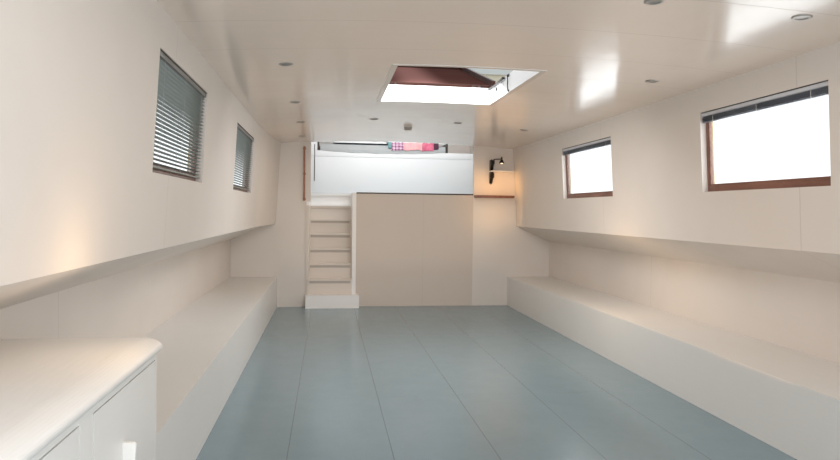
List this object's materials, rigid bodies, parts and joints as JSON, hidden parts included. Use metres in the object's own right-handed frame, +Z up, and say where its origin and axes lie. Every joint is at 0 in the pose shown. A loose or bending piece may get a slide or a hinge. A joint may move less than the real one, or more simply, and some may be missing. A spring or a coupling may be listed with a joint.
{
  "type": "houseboat saloon section",
  "caption": "Open-ended saloon section of a flat-bottomed steel houseboat, with windows, blinds, roof hatch, sideboard, stairs to a raised landing, and a berth in a raised cabin.",
  "frame": {"origin": "centre of the underside of the bottom plate, which is also the centre of the bounding box seen from above", "axes": "+X to starboard, +Y aft along the boat, +Z up"},
  "size_m": [5.18, 11.8, 3.845],
  "materials": {
    "hull_paint": "satin",
    "deck_paint": "matte non-slip",
    "strake_paint": "satin",
    "roof_paint": "gloss below, matte above",
    "coaming_paint": "satin",
    "floor_paint": "satin paint",
    "parapet_paint": "satin paint",
    "mahogany": "satin varnish",
    "glass": "clear",
    "blind_slats": "satin",
    "grey_fabric": "woven",
    "blanket_wool": "soft wool",
    "copper_brass": "polished",
    "dark_wood": "satin stain",
    "black_metal": "satin",
    "wall_paint": "satin paint",
    "joinery_paint": "satin paint"
  },
  "bodies": {
    "hull": {"bed_end_port": "dark_wood", "bed_end_starboard": "dark_wood", "bench_port": "joinery_paint", "bench_starboard": "joinery_paint", "berth": "joinery_paint", "blankets": "blanket_wool", "blind_port_aft": "blind_slats", "blind_port_fore": "blind_slats", "blind_starboard_aft": "blind_slats", "blind_starboard_fore": "blind_slats", "bulkhead_port": "wall_paint", "bulkhead_starboard": "wall_paint", "cabin_side_port": "wall_paint", "cabin_side_starboard": "wall_paint", "companion_stairs": "joinery_paint", "end_wall": "wall_paint", "grab_rail": "copper_brass", "hatch_coaming": "coaming_paint", "hull_bottom": "hull_paint", "hull_bulkhead": "hull_paint", "hull_side_port": "hull_paint", "hull_side_starboard": "hull_paint", "landing": "floor_paint", "mattress": "grey_fabric", "parapet": "parapet_paint", "raised_front": "wall_paint", "raised_roof": "roof_paint", "raised_side_port": "wall_paint", "raised_side_starboard": "wall_paint", "rubbing_strake_port": "strake_paint", "rubbing_strake_starboard": "strake_paint", "saloon_floor": "floor_paint", "saloon_roof": "roof_paint", "shelf_bracket": "black_metal", "shelf_lower": "joinery_paint", "shelf_upper": "joinery_paint", "side_deck_port": "deck_paint", "side_deck_starboard": "deck_paint", "side_lining_port": "wall_paint", "side_lining_starboard": "wall_paint", "sideboard": "joinery_paint", "sideboard_top": "joinery_paint", "wall_lamp": "black_metal", "window_frame_port_aft": "mahogany", "window_frame_port_fore": "mahogany", "window_frame_starboard_aft": "mahogany", "window_frame_starboard_fore": "mahogany", "window_glass_end_port": "glass", "window_glass_end_starboard": "glass", "window_glass_port_aft": "glass", "window_glass_port_fore": "glass", "window_glass_raised_port": "glass", "window_glass_raised_starboard_aft": "glass", "window_glass_raised_starboard_fore": "glass", "window_glass_starboard_aft": "glass", "window_glass_starboard_fore": "glass"},
    "hatch_lid": {"hatch_lid": "mahogany"},
    "sideboard_door_aft": {"sideboard_door_aft": "joinery_paint"},
    "sideboard_door_fore": {"sideboard_door_fore": "joinery_paint"},
    "entrance_door": {"entrance_door": "mahogany"}
  },
  "joints": [
    {"name": "hatch_hinge", "type": "hinge", "parent": "hull", "child": "hatch_lid", "pos_m": [0, -0.69, 2.841], "axis": [1, 0, 0], "range_deg": [0, 163]},
    {"name": "entrance_hinge", "type": "hinge", "parent": "hull", "child": "entrance_door", "pos_m": [-1.84122, 4.344, 2.70297], "axis": [-0.0605, 0, -0.9982], "range_deg": [0, 100]},
    {"name": "sideboard_hinge_aft", "type": "hinge", "parent": "hull", "child": "sideboard_door_aft", "pos_m": [-1.64, -4.921, 0.7], "axis": [0, 0, -1], "range_deg": [0, 100]},
    {"name": "sideboard_hinge_fore", "type": "hinge", "parent": "hull", "child": "sideboard_door_fore", "pos_m": [-1.64, -5.841, 0.7], "axis": [0, 0, -1], "range_deg": [0, 100]}
  ]
}
